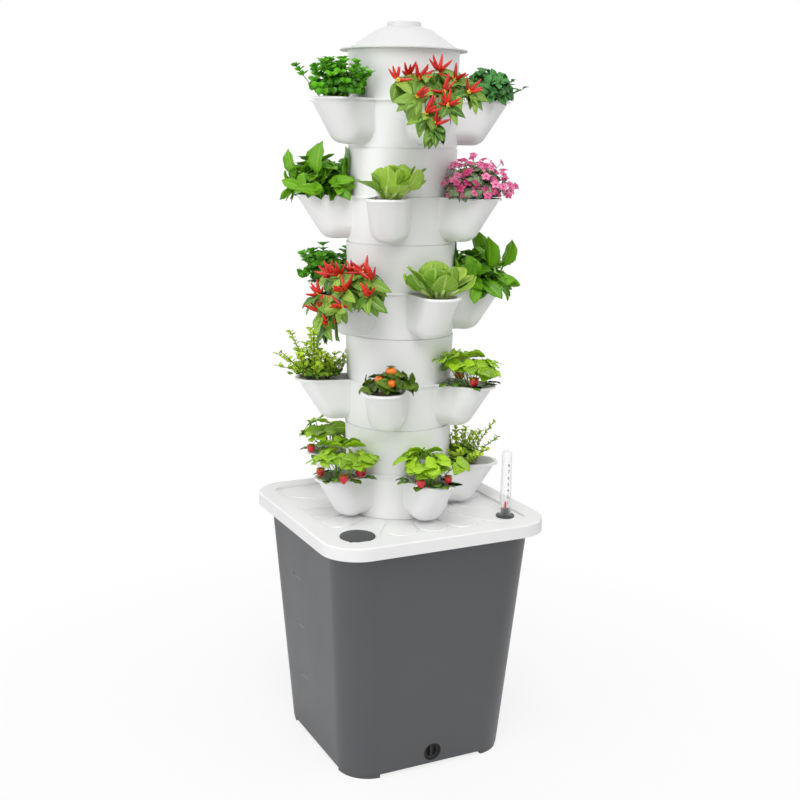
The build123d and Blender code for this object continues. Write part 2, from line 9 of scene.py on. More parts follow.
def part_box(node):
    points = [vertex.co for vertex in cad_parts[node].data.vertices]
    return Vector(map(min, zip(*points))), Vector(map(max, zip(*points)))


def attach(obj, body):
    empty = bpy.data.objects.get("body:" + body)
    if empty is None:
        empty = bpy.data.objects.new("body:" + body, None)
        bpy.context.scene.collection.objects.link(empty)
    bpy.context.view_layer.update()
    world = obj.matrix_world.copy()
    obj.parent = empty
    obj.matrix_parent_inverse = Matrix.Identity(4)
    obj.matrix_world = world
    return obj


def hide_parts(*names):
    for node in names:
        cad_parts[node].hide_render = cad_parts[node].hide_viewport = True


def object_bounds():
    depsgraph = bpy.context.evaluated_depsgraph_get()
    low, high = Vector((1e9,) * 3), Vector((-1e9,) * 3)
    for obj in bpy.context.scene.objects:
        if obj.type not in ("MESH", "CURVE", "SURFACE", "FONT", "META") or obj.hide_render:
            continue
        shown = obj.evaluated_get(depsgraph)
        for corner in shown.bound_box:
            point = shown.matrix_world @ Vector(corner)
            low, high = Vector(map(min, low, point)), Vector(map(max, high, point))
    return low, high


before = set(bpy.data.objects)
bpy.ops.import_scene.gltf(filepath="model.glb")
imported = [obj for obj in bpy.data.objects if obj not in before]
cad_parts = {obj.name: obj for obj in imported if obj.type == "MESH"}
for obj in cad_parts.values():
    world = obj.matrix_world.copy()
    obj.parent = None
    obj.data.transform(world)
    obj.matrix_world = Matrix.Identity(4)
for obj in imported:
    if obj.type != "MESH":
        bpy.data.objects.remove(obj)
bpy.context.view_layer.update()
bpy.ops.object.select_all(action="DESELECT")

# Camera, fitted to the photograph: degrees, metres, and millimetres of lens
CAMERA_AZIMUTH = -26.41
CAMERA_PITCH = 12.41
CAMERA_ROLL = 0.94
CAMERA_PLACE = Vector((-0.7792, -1.5751, 0.9204))
CAMERA_LENS = 54.08
SENSOR_WIDTH = 36.0

# Counts of tiers and pots, and the tiers' turns in degrees
TIERS = 5
POTS = 5
POT_STEP = 360 / POTS
ODD_TURN = -90
TOP_TRIM = -3

# Room for the crops in metres, from the tower's axis and from the foot of a planter
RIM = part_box("planter_5")[1][2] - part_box("planter_5")[0][2]
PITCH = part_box("planter_4")[0][2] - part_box("planter_5")[0][2]
POT_MIDDLE = 0.120
POT_REACH = 0.158
POT_HALF_WIDTH = 0.031
RIM_GAP = 0.002
NECK_CLEAR = 0.0825
POT_ABOVE_LIFT = 0.002
POT_ABOVE = PITCH + POT_ABOVE_LIFT
POT_ABOVE_REACH = 0.110
POT_ABOVE_SLOPE = 1.3
CAP_REACH = 0.094
CAP_GAP = 0.004
OUTER_REACH = 0.188
GAUGE_CLEAR = 0.1595
BOX_REACH = 0.181
NEAR_AXIS = 1e-6

# Growth: headings, where a plant starts in its pot, and how its leaves and stems are spread
UP = Vector((0, 0, 1))
DOWN = Vector((0, 0, -1))
ASIDE = Vector((0, 1, 0))
SPARE_FACING = Vector((1, 0.2, 0))
NEARLY_PARALLEL = 0.05
CROWN_RISE = 0.004
CROWN = Vector((POT_MIDDLE, 0, RIM + CROWN_RISE))
ROOT_DEPTH = 0.01
ROOT_HOLD = 0.03
GOLDEN_SHARE = 0.618034
MOUND_OVAL = 0.85
MOUND_STRAY = 0.06
FAN_STRAY = 0.05
TINT_RISE = 1.3
STEM_THINNING = 0.25
STEM_OVERLAP = 1.04
TWIG_PAIR_GAP = 0.0066
TWIG_PAIR_TURN = 1.57
PETALS = 5
SEPALS = 5
SEPAL_STEP = 1.257
LEAFLETS = 5
LEAFLET_STEP = 1.2566

# Leaf and fruit templates: counts, and shares of their length
BLADE_THICKNESS = 0.012
RUFFLE_WAVES = 15
ROD_SIDES = 5
ROD_TAPER = 0.7
POD_WIDTH = 0.14
POD_BEND = 0.12

# Depth of surface grain in metres, and the finish of the leaves
GRAIN_DEPTH = 0.0006
VEIN_DEPTH = 0.0008
VEIN_RELIEF = 0.35
VEIN_SLANT = 5.0
LEAF_SHINE = 0.28

# Numbers on the level gauge: turn in degrees, count, shares of the tube's height, then metres
GAUGE_TURN = -110
GAUGE_STEPS = 8
GAUGE_FIRST = 0.06
GAUGE_SPAN = 0.75
GAUGE_TAPER = 0.0008
GAUGE_SINK = 0.0001
GAUGE_NUMBER = 0.0062
GAUGE_INK = 0.0003

# Level marks on the tank's left side: litres and height, then sizes and places in metres
LEVEL_MARKS = ((20, 0.268), (15, 0.189), (10, 0.104))
LEVEL_NUMBER = 0.0125
LEVEL_RAISE = 0.0008
NUMBER_START = 0.052
BAR_START = 0.033
BAR_LENGTH = 0.022
BAR_HEIGHT = 0.0022
TANK_FOOT = 0.006
TANK_TOP = 0.370
TANK_BASE_HALF = 0.1325
TANK_TOP_HALF = 0.159

# Floor: its size, and where it fades from shadow to white
FLOOR_SIZE = 14.0
SHADOW_NEAR = 0.25
SHADOW_FAR = 0.9
SHADOW_WHITE = 0.8

PLANTING = (
    ("chili", "oregano", "parsley", "spinach", "parsley"),
    ("bok_choy", "begonia", "strawberry", "parsley", "spinach"),
    ("bok_choy", "spinach", "box_sprig", "parsley", "chili"),
    ("tomato", "strawberry", "tomato", "begonia", "box_sprig"),
    ("strawberry", "box_sprig", "spinach", "strawberry", "strawberry"),
)
# Tier and pot of the plants that have shot up
FULL_GROWN = ((2, 5), (3, 2), (4, 1))
# Plants that lean or spread, by tier and pot: lean out and aside in metres, growth out, aside and up
HABITS = {
    (1, 1): ((0.0, -0.020), (1.0, 1.05, 1.0)),
    (1, 4): ((-0.010, -0.020), (0.8, 0.8, 0.9)),
    (2, 1): ((0.0, 0.014), (1.0, 1.05, 1.05)),
    (2, 2): ((-0.003, 0.0), (1.15, 1.1, 1.0)),
    (2, 3): ((0.0, 0.0), (0.8, 0.8, 0.7)),
    (2, 5): ((-0.008, 0.0), (1.32, 1.1, 1.0)),
    (3, 1): ((0.0, 0.0), (1.15, 1.4, 1.05)),
    (3, 2): ((-0.009, -0.004), (1.4, 1.25, 1.12)),
    (3, 4): ((0.0, 0.0), (1.1, 1.1, 1.0)),
    (3, 5): ((-0.010, 0.028), (1.1, 1.1, 1.05)),
    (4, 1): ((0.0, 0.009), (1.05, 1.05, 0.9)),
    (4, 2): ((-0.010, 0.0), (1.0, 1.0, 1.0)),
    (4, 3): ((0.0, 0.0), (0.9, 0.9, 0.6)),
    (4, 4): ((0.0, -0.024), (0.8, 0.75, 0.8)),
    (4, 5): ((0.004, 0.002), (1.25, 1.05, 0.95)),
    (5, 1): ((0.0, -0.012), (1.0, 1.0, 1.0)),
    (5, 2): ((-0.026, -0.006), (1.0, 1.1, 1.0)),
    (5, 5): ((0.0, 0.012), (1.05, 1.0, 1.0)),
}
NO_HABIT = ((0.0, 0.0), (1.0, 1.0, 1.0))


# Shader groups
def new_group(name, inputs, outputs):
    """Empty shader group with float, vector or colour sockets."""
    group = bpy.data.node_groups.new(name, "ShaderNodeTree")
    for direction, sockets in (("INPUT", inputs), ("OUTPUT", outputs)):
        for label, kind in sockets:
            group.interface.new_socket(label, in_out=direction, socket_type="NodeSocket" + kind)
    start = group.nodes.new("NodeGroupInput")
    end = group.nodes.new("NodeGroupOutput")
    return group, start, end


def math_node(tree, operation, first, second=None, third=None):
    """One math node, fed by sockets or plain numbers."""
    node = tree.nodes.new("ShaderNodeMath")
    node.operation = operation
    for index, value in enumerate((first, second, third)):
        if value is None:
            continue
        if isinstance(value, (int, float)):
            node.inputs[index].default_value = value
        else:
            tree.links.new(value, node.inputs[index])
    return node.outputs[0]


def moulded_grain_group():
    """Fine mould grain and slow mottling of a moulded plastic."""
    group, start, end = new_group(
        "moulded_grain",
        (("Place", "Vector"), ("Grain Scale", "Float"), ("Mottle Scale", "Float")),
        (("Grain", "Float"), ("Mottle", "Float")),
    )
    for scale, output, detail in (("Grain Scale", "Grain", 3.0), ("Mottle Scale", "Mottle", 5.0)):
        noise = group.nodes.new("ShaderNodeTexNoise")
        noise.inputs["Detail"].default_value = detail
        group.links.new(start.outputs["Place"], noise.inputs["Vector"])
        group.links.new(start.outputs[scale], noise.inputs["Scale"])
        group.links.new(noise.outputs["Fac"], end.inputs[output])
    return group


def leaf_vein_group():
    """Midrib and side veins of a leaf, from its own map: U across, V along."""
    group, start, end = new_group(
        "leaf_veins",
        (("Map", "Vector"), ("Pairs", "Float"), ("Slant", "Float")),
        (("Midrib", "Float"), ("Veins", "Float")),
    )
    split = group.nodes.new("ShaderNodeSeparateXYZ")
    group.links.new(start.outputs["Map"], split.inputs[0])
    across = math_node(group, "ABSOLUTE", math_node(group, "SUBTRACT", split.outputs["X"], 0.5))
    ridge = math_node(group, "MULTIPLY_ADD", across, -16.0, 1.0)
    midrib = math_node(group, "SMOOTH_MAX", ridge, 0.0, 0.2)
    spaced = math_node(group, "MULTIPLY", split.outputs["Y"], start.outputs["Pairs"])
    slanted = math_node(group, "MULTIPLY", across, start.outputs["Slant"])
    wave = math_node(group, "PINGPONG", math_node(group, "SUBTRACT", spaced, slanted), 0.5)
    veins = math_node(group, "MAXIMUM", math_node(group, "MULTIPLY_ADD", wave, -7.0, 1.0), 0.0)
    group.links.new(midrib, end.inputs["Midrib"])
    group.links.new(veins, end.inputs["Veins"])
    return group


MOULDED_GRAIN = moulded_grain_group()
LEAF_VEINS = leaf_vein_group()


# Materials
def new_material(name):
    """Material with a Principled shader and nothing else."""
    material = bpy.data.materials.new(name)
    material.use_nodes = True
    tree = material.node_tree
    return material, tree, tree.nodes["Principled BSDF"]


def mix_colour(tree, factor, first, second):
    """Colour mix by a socket; its ends are sockets or plain colours."""
    mix = tree.nodes.new("ShaderNodeMix")
    mix.data_type = "RGBA"
    tree.links.new(factor, mix.inputs["Factor"])
    for socket, value in ((mix.inputs[6], first), (mix.inputs[7], second)):
        if isinstance(value, tuple):
            socket.default_value = (*value, 1.0)
        else:
            tree.links.new(value, socket)
    return mix.outputs[2]


def remap(tree, value, low, high):
    """Spread a 0 to 1 value between two numbers."""
    node = tree.nodes.new("ShaderNodeMapRange")
    node.inputs["To Min"].default_value = low
    node.inputs["To Max"].default_value = high
    tree.links.new(value, node.inputs["Value"])
    return node.outputs["Result"]


def add_relief(tree, shader, height, strength, depth):
    """Bump of a height on the shader; the bump node is given back."""
    relief = tree.nodes.new("ShaderNodeBump")
    relief.inputs["Strength"].default_value = strength
    relief.inputs["Distance"].default_value = depth
    tree.links.new(height, relief.inputs["Height"])
    tree.links.new(relief.outputs["Normal"], shader.inputs["Normal"])
    return relief


def own_tint(tree):
    """Tint that every leaf, stem and fruit has for itself; on many leaves it also carries painted shade,
    darker inside a plant.
    """
    tint = tree.nodes.new("ShaderNodeAttribute")
    tint.attribute_name = "tint"
    return tint.outputs["Fac"]


def noise_on_piece(tree, scale):
    """Noise that stays on the piece."""
    place = tree.nodes.new("ShaderNodeTexCoord")
    noise = tree.nodes.new("ShaderNodeTexNoise")
    noise.inputs["Scale"].default_value = scale
    tree.links.new(place.outputs["Object"], noise.inputs["Vector"])
    return noise.outputs["Fac"]


def moulded(name, colour, shade, roughness, grain_scale, bump, mottle_scale=14.0, specular=0.5):
    """Moulded plastic: slow colour mottling, uneven gloss and a fine mould grain."""
    material, tree, shader = new_material(name)
    place = tree.nodes.new("ShaderNodeTexCoord")
    grain = tree.nodes.new("ShaderNodeGroup")
    grain.node_tree = MOULDED_GRAIN
    grain.inputs["Grain Scale"].default_value = grain_scale
    grain.inputs["Mottle Scale"].default_value = mottle_scale
    tree.links.new(place.outputs["Object"], grain.inputs["Place"])
    mottle = grain.outputs["Mottle"]
    gloss = remap(tree, mottle, roughness - 0.06, roughness + 0.08)
    tree.links.new(mix_colour(tree, mottle, colour, shade), shader.inputs["Base Color"])
    tree.links.new(gloss, shader.inputs["Roughness"])
    add_relief(tree, shader, grain.outputs["Grain"], bump, GRAIN_DEPTH)
    shader.inputs["Specular IOR Level"].default_value = specular
    return material


def leafy(name, dark, light, vein, roughness, pairs):
    """Leaf with a pale midrib, side veins and a tint of its own for every leaf, which also carries painted
    shade.
    """
    material, tree, shader = new_material(name)
    leaf_map = tree.nodes.new("ShaderNodeUVMap")
    leaf_map.uv_map = "leaf_map"
    veins = tree.nodes.new("ShaderNodeGroup")
    veins.node_tree = LEAF_VEINS
    veins.inputs["Pairs"].default_value = pairs
    veins.inputs["Slant"].default_value = VEIN_SLANT
    tree.links.new(leaf_map.outputs["UV"], veins.inputs["Map"])
    tint = own_tint(tree)
    midrib, side_veins = veins.outputs["Midrib"], veins.outputs["Veins"]
    green = mix_colour(tree, tint, dark, light)
    veined = mix_colour(tree, math_node(tree, "MULTIPLY", side_veins, 0.3), green, vein)
    ribbed = mix_colour(tree, math_node(tree, "MULTIPLY", midrib, 0.75), veined, vein)
    tree.links.new(ribbed, shader.inputs["Base Color"])
    height = math_node(tree, "ADD", midrib, math_node(tree, "MULTIPLY", side_veins, 0.6))
    relief = add_relief(tree, shader, height, VEIN_RELIEF, VEIN_DEPTH)
    relief.invert = True
    gloss = remap(tree, tint, roughness - 0.07, roughness + 0.07)
    tree.links.new(gloss, shader.inputs["Roughness"])
    shader.inputs["Specular IOR Level"].default_value = LEAF_SHINE
    return material


def fleshy(name, deep, bright, roughness, speckle_scale=900.0):
    """Stem, fruit skin or flower petal: a tint for each one and a fine speckle."""
    material, tree, shader = new_material(name)
    speckle = noise_on_piece(tree, speckle_scale)
    skin = mix_colour(tree, own_tint(tree), deep, bright)
    speckled = mix_colour(tree, math_node(tree, "MULTIPLY", speckle, 0.35), skin, deep)
    gloss = remap(tree, speckle, roughness - 0.05, roughness + 0.1)
    tree.links.new(speckled, shader.inputs["Base Color"])
    tree.links.new(gloss, shader.inputs["Roughness"])
    return material


def clear_plastic(name, colour, haze_scale):
    """Milky clear tube wall: thin face on, thicker to the eye at its edges."""
    material, tree, shader = new_material(name)
    gloss = remap(tree, noise_on_piece(tree, haze_scale), 0.24, 0.36)
    tree.links.new(gloss, shader.inputs["Roughness"])
    edge = tree.nodes.new("ShaderNodeLayerWeight")
    edge.inputs["Blend"].default_value = 0.35
    tree.links.new(remap(tree, edge.outputs["Facing"], 0.04, 0.5), shader.inputs["Alpha"])
    shader.inputs["Base Color"].default_value = (*colour, 1)
    shader.inputs["Specular IOR Level"].default_value = 0.3
    return material


WHITE = moulded(
    "white_shell", (0.86, 0.86, 0.86), (0.83, 0.833, 0.836), roughness=0.36, grain_scale=1400, bump=0.05)
# Darker copy of the shell white for the lid: painted shade that holds down the lamp light on it; the rougher
# gloss and coarser grain are the lid's own.
LID_WHITE_SHADED = moulded(
    "white_lid_painted_shade", (0.81, 0.81, 0.805), (0.78, 0.783, 0.783), roughness=0.42, grain_scale=1100, bump=0.08)
# Darker copy of the shell white for the top cap: painted shade that holds down the lamp light on it.
CAP_WHITE_SHADED = moulded(
    "white_cap_painted_shade", (0.70, 0.70, 0.70), (0.67, 0.673, 0.676), roughness=0.36, grain_scale=1400, bump=0.05)
TANK_GREY = moulded(
    "tank_grey", (0.045, 0.049, 0.055), (0.039, 0.042, 0.048), roughness=0.32, grain_scale=900, bump=0.14,
    specular=1.0)
DARK = moulded(
    "dark_plastic", (0.062, 0.068, 0.066), (0.045, 0.05, 0.05), roughness=0.5, grain_scale=1300, bump=0.3)
BLACK = moulded(
    "black_rubber", (0.012, 0.012, 0.013), (0.02, 0.02, 0.021), roughness=0.62, grain_scale=1200, bump=0.25)
RED = moulded(
    "red_pointer", (0.72, 0.02, 0.03), (0.62, 0.015, 0.025), roughness=0.34, grain_scale=1500, bump=0.05)
FOAM = moulded(
    "float_foam", (0.8, 0.79, 0.75), (0.7, 0.69, 0.66), roughness=0.8, grain_scale=1600, bump=0.5)
SPONGE = moulded(
    "grow_sponge", (0.30, 0.24, 0.12), (0.18, 0.14, 0.07), roughness=0.9, grain_scale=700, bump=1.0,
    mottle_scale=160)
CERAMIC = moulded(
    "shaft_ceramic", (0.83, 0.82, 0.78), (0.8, 0.79, 0.75), roughness=0.2, grain_scale=1500, bump=0.03)
MAGNET = moulded(
    "rotor_magnet", (0.13, 0.13, 0.135), (0.1, 0.1, 0.105), roughness=0.45, grain_scale=1100, bump=0.2)
# Lighter grey of the raised level marks: painted highlight for the light they catch.
MARK_PAINTED_HIGHLIGHT = moulded(
    "mark_painted_highlight", (0.24, 0.245, 0.25), (0.2, 0.205, 0.21), roughness=0.4, grain_scale=900, bump=0.14)
INK = moulded(
    "scale_ink", (0.06, 0.063, 0.066), (0.10, 0.105, 0.11), roughness=0.6, grain_scale=1500, bump=0.1)
CLEAR = clear_plastic("clear_tube", (0.84, 0.845, 0.85), haze_scale=60.0)

LEAVES = {
    "parsley": leafy(
        "parsley_leaf", dark=(0.012, 0.12, 0.004), light=(0.14, 0.52, 0.010), vein=(0.22, 0.56, 0.05),
        roughness=0.36, pairs=5.0),
    "oregano": leafy(
        "oregano_leaf", dark=(0.008, 0.07, 0.012), light=(0.085, 0.30, 0.065), vein=(0.15, 0.38, 0.12),
        roughness=0.44, pairs=4.0),
    "spinach": leafy(
        "spinach_leaf", dark=(0.014, 0.10, 0.002), light=(0.16, 0.43, 0.006), vein=(0.32, 0.58, 0.06),
        roughness=0.28, pairs=8.0),
    "bok_choy": leafy(
        "bok_choy_leaf", dark=(0.14, 0.32, 0.014), light=(0.36, 0.56, 0.06), vein=(0.56, 0.70, 0.2),
        roughness=0.34, pairs=7.0),
    "begonia": leafy(
        "begonia_leaf", dark=(0.05, 0.10, 0.045), light=(0.25, 0.34, 0.18), vein=(0.42, 0.46, 0.32),
        roughness=0.5, pairs=4.0),
    "box_sprig": leafy(
        "box_leaf", dark=(0.03, 0.17, 0.006), light=(0.56, 0.80, 0.03), vein=(0.54, 0.74, 0.1),
        roughness=0.36, pairs=3.0),
    "tomato": leafy(
        "tomato_leaf", dark=(0.012, 0.045, 0.003), light=(0.11, 0.20, 0.010), vein=(0.2, 0.3, 0.04),
        roughness=0.4, pairs=6.0),
    "strawberry": leafy(
        "strawberry_leaf", dark=(0.03, 0.14, 0.003), light=(0.40, 0.68, 0.014), vein=(0.48, 0.68, 0.09),
        roughness=0.32, pairs=8.0),
    "chili": leafy(
        "chili_leaf", dark=(0.03, 0.14, 0.006), light=(0.24, 0.42, 0.04), vein=(0.5, 0.62, 0.2),
        roughness=0.34, pairs=7.0),
}
STEM_GREEN = fleshy("green_stem", (0.10, 0.24, 0.03), (0.28, 0.44, 0.09), 0.5)
STEM_WOOD = fleshy("woody_stem", (0.05, 0.06, 0.015), (0.14, 0.15, 0.04), 0.6)
STALK_PALE = fleshy("pale_stalk", (0.40, 0.55, 0.14), (0.60, 0.70, 0.3), 0.4)
CHILI_RED = fleshy("chili_skin", (0.48, 0.006, 0.006), (0.80, 0.035, 0.012), 0.2, 160.0)
BERRY_RED = fleshy("berry_skin", (0.60, 0.008, 0.022), (0.88, 0.04, 0.06), 0.3, 500.0)
FRUIT_ORANGE = fleshy("tomato_skin", (0.66, 0.08, 0.004), (0.84, 0.21, 0.008), 0.2, 120.0)
PETAL_PINK = fleshy("pink_petal", (0.52, 0.03, 0.16), (0.90, 0.28, 0.50), 0.5)
PETAL_YELLOW = fleshy("yellow_petal", (0.8, 0.55, 0.02), (0.9, 0.75, 0.1), 0.5)

NODE_LOOKS = {
    "tank": TANK_GREY, "lid": LID_WHITE_SHADED, "top_cap": CAP_WHITE_SHADED, "filler_cap": DARK, "gauge_base": DARK,
    "gauge_tube": CLEAR, "gauge_pointer": RED, "gauge_rod": WHITE, "gauge_float": FOAM,
    "drain_plug": BLACK, "drain_seal": BLACK, "pump_housing": BLACK, "pump_cover": DARK,
    "pump_rotor": MAGNET, "pump_shaft": CERAMIC, "pump_feet": BLACK, "riser_lower": WHITE,
    "riser_upper": WHITE, "riser_coupling": WHITE, "distributor": WHITE,
}
GROUP_LOOKS = {"planter": WHITE, "neck": WHITE, "net_cups": DARK, "sponges": SPONGE}

for name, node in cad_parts.items():
    look = NODE_LOOKS.get(name) or GROUP_LOOKS.get(name.rsplit("_", 1)[0])
    if look:
        node.data.materials.clear()
        node.data.materials.append(look)


# Templates: each is modelled once, then copied into the plants
def finish_template(piece, thickness=0.0):
    """Thicken a blade, then keep the template's mesh as lists and take it out of the scene."""
    if thickness:
        solid = piece.modifiers.new("thickness", "SOLIDIFY")
        solid.thickness = thickness
        solid.offset = 0.0
        bpy.ops.object.modifier_apply(modifier=solid.name)
    mesh = piece.data
    corners = [Vector(v.co) for v in mesh.vertices]
    layer = mesh.uv_layers[0].data if mesh.uv_layers else None
    faces = []
    maps = []
    for face in mesh.polygons:
        faces.append(tuple(face.vertices))
        maps.append([tuple(layer[i].uv) if layer else (0.5, 0.5) for i in face.loop_indices])
    bpy.data.objects.remove(piece)
    bpy.data.meshes.remove(mesh)
    return corners, faces, maps


def blade(profile, across, along, fold, curl, ruffle=0.0, teeth=0.0):
    """Leaf blade one unit long on +Y, shaped from a flat grid by a width profile."""
    bpy.ops.mesh.primitive_grid_add(x_subdivisions=across, y_subdivisions=along, size=1.0)
    piece = bpy.context.object
    for vertex in piece.data.vertices:
        side = 2 * vertex.co.x
        reach = vertex.co.y + 0.5
        row = round(reach * along)
        width = profile(reach)
        at_edge = abs(side) > 0.99
        if at_edge:
            width *= 1 - teeth * (row % 2)
        x = side * width
        wave = ruffle * sin(reach * RUFFLE_WAVES) * side * abs(side)
        vertex.co = (x, reach, fold * abs(x) - curl * reach * reach + wave)
    return finish_template(piece, BLADE_THICKNESS)


def rod():
    """Stem one unit long on +Y."""
    bpy.ops.mesh.primitive_cone_add(vertices=ROD_SIDES, radius1=1.0, radius2=ROD_TAPER, depth=1.0)
    piece = bpy.context.object
    for vertex in piece.data.vertices:
        vertex.co = (vertex.co.x, vertex.co.z + 0.5, vertex.co.y)
    piece.data.flip_normals()
    return finish_template(piece)


def pod():
    """Chili pod on +Y: a bent, pointed cone with round shoulders."""
    bpy.ops.mesh.primitive_uv_sphere_add(segments=8, ring_count=7, radius=1.0)
    piece = bpy.context.object
    for vertex in piece.data.vertices:
        reach = (1 + vertex.co.z) / 2
        thin = (1 - reach) ** 0.45 / max(0.35, (1 - vertex.co.z**2) ** 0.5) if reach < 1 else 0
        width = POD_WIDTH * min(1.0, thin)
        vertex.co = (vertex.co.x * width, reach, vertex.co.y * width + POD_BEND * reach * reach)
    piece.data.flip_normals()
    return finish_template(piece)


def ball(squash_tip=0.0):
    """Round fruit of unit diameter; squash_tip draws one end to a point."""
    bpy.ops.mesh.primitive_uv_sphere_add(segments=12, ring_count=8, radius=0.5)
    piece = bpy.context.object
    for vertex in piece.data.vertices:
        reach = 0.5 - vertex.co.z
        narrow = 1 - squash_tip * reach**1.5
        vertex.co = (vertex.co.x * narrow, vertex.co.y * narrow, vertex.co.z)
    return finish_template(piece)


def ovate(width, widest=0.4):
    """Width profile of a leaf that is widest part of the way along and comes to a point."""
    def profile(reach):
        if reach < widest:
            return width * (0.12 + 0.88 * sin(0.5 * pi * reach / widest) ** 0.8)
        return width * max(0.02, cos(0.5 * pi * (reach - widest) / (1 - widest)) ** 0.75)
    return profile


def spoon(reach):
    """Width profile of a bok choy leaf: a thick stalk that opens into a round blade."""
    stalk_end, stalk_width = 0.36, 0.085
    round_middle, round_half, round_width, tip_width = 0.68, 0.33, 0.32, 0.06
    if reach < stalk_end:
        return stalk_width
    return max(tip_width, round_width * (1 - ((reach - round_middle) / round_half) ** 2) ** 0.5)


TEMPLATES = {
    "broad": blade(ovate(0.27, 0.48), across=4, along=8, fold=0.35, curl=0.24, ruffle=0.03),
    "broad_droop": blade(ovate(0.28), across=4, along=7, fold=0.3, curl=0.5, ruffle=0.03),
    "toothed": blade(ovate(0.36, 0.48), across=4, along=9, fold=0.3, curl=0.3, ruffle=0.02, teeth=0.16),
    "round_toothed": blade(
        ovate(0.44, 0.5), across=4, along=9, fold=0.22, curl=0.28, ruffle=0.03, teeth=0.12),
    "lobe": blade(ovate(0.42, 0.62), across=2, along=5, fold=0.35, curl=0.25, ruffle=0.03, teeth=0.25),
    "small": blade(ovate(0.33, 0.55), across=2, along=4, fold=0.4, curl=0.2),
    "spoon": blade(spoon, across=6, along=14, fold=0.3, curl=0.16, ruffle=0.02),
    "petal": blade(ovate(0.38, 0.65), across=2, along=3, fold=0.2, curl=0.2),
    "rod": rod(),
    "pod": pod(),
    "round_fruit": ball(),
    "berry": ball(squash_tip=0.55),
}


# Plants
class Plant:
    """Leaves, stems and fruit of one crop, in the frame of its tier: X out of the pot, Z up."""

    def __init__(self, crop, seed, full_grown):
        self.crop = crop
        self.full_grown = full_grown
        self.draw = random.Random(seed)
        self.looks = []
        self.corners, self.faces, self.maps, self.tints, self.slots, self.free = [], [], [], [], [], []

    def place(self, template, look, base, heading, length, width=None, face_up=UP, tint=None, free=False):
        """Copy a template from base along heading; a free one may reach down into the pot."""
        along = heading.normalized()
        side = along.cross(face_up)
        if side.length < NEARLY_PARALLEL:
            side = along.cross(SPARE_FACING)
        side.normalize()
        normal = side.cross(along)
        width = length if width is None else width
        corners, faces, maps = TEMPLATES[template]
        first = len(self.corners)
        if look not in self.looks:
            self.looks.append(look)
        shade = self.draw.random() if tint is None else tint
        for c in corners:
            corner = base + side * (c.x * width) + along * (c.y * length) + normal * (c.z * width)
            self.corners.append(corner)
            self.tints.append(shade)
            self.free.append(free)
        for face, face_map in zip(faces, maps):
            self.faces.append(tuple(first + i for i in face))
            self.maps.append(face_map)
            self.slots.append(self.looks.index(look))

    def stem(self, points, radius, look=STEM_GREEN):
        """Chain of rods through the points, thinner towards the end."""
        shade = self.draw.random()
        for i, (a, b) in enumerate(zip(points, points[1:])):
            thin = radius * (1 - STEM_THINNING * i / max(1, len(points) - 1))
            length = (b - a).length * STEM_OVERLAP
            self.place("rod", look, a, b - a, length, thin, tint=shade, free=True)

    def settle(self, lean, growth):
        """Lean and spread the plant, with its foot held in the pot."""
        for c in self.corners:
            off = c - CROWN
            hold = min(1.0, off.length / ROOT_HOLD)
            c.x = CROWN.x + off.x * (1 + (growth[0] - 1) * hold) + lean[0] * hold
            c.y = CROWN.y + off.y * (1 + (growth[1] - 1) * hold) + lean[1] * hold
            c.z = CROWN.z + off.z * (1 + (growth[2] - 1) * hold)

    def keep_clear(self, tier):
        """Hold leaves off the neck, the pot's rim, what is above, the gauge and the edge of the model."""
        for i, c in enumerate(self.corners):
            around = hypot(c.x, c.y)
            if around < NECK_CLEAR:
                push = NECK_CLEAR / max(around, NEAR_AXIS)
                c.x, c.y = c.x * push, c.y * push
            reach = GAUGE_CLEAR if tier == TIERS else OUTER_REACH
            if around > reach:
                c.x, c.y = c.x * reach / around, c.y * reach / around
            over_pot = c.x < POT_REACH and abs(c.y) < POT_HALF_WIDTH
            if over_pot and c.z < RIM + RIM_GAP and not self.free[i]:
                c.z = RIM + RIM_GAP
            if tier > 1:
                roof = POT_ABOVE + max(0.0, around - POT_ABOVE_REACH) * POT_ABOVE_SLOPE
                c.z = min(c.z, roof)
            elif around < CAP_REACH:
                c.z = min(c.z, PITCH - CAP_GAP)

    def build(self, name, tier, turn, height):
        """Make the mesh, turned and lifted to its pot."""
        self.keep_clear(tier)
        swing = Matrix.Translation((0, 0, height)) @ Matrix.Rotation(radians(turn), 4, "Z")
        mesh = bpy.data.meshes.new(name)
        places = [swing @ c for c in self.corners]
        for c in places:
            c.x = min(BOX_REACH, max(-BOX_REACH, c.x))
            c.y = min(BOX_REACH, max(-BOX_REACH, c.y))
        mesh.from_pydata(places, [], self.faces)
        leaf_map = mesh.uv_layers.new(name="leaf_map")
        leaf_map.data.foreach_set("uv", [n for face in self.maps for corner in face for n in corner])
        tint = mesh.attributes.new("tint", "FLOAT", "POINT")
        tint.data.foreach_set("value", self.tints)
        for look in self.looks:
            mesh.materials.append(look)
        mesh.polygons.foreach_set("material_index", self.slots)
        mesh.polygons.foreach_set("use_smooth", [True] * len(self.faces))
        mesh.update()
        piece = bpy.data.objects.new(name, mesh)
        bpy.context.collection.objects.link(piece)
        return piece


def level(turn):
    """Flat heading at a turn about the upright; 0 points straight out of the pot."""
    return Vector((cos(turn), sin(turn), 0))


def spray(tilt, turn):
    """Heading at a tilt from upright, turned about the upright."""
    return Vector((sin(tilt) * cos(turn), sin(tilt) * sin(turn), cos(tilt)))


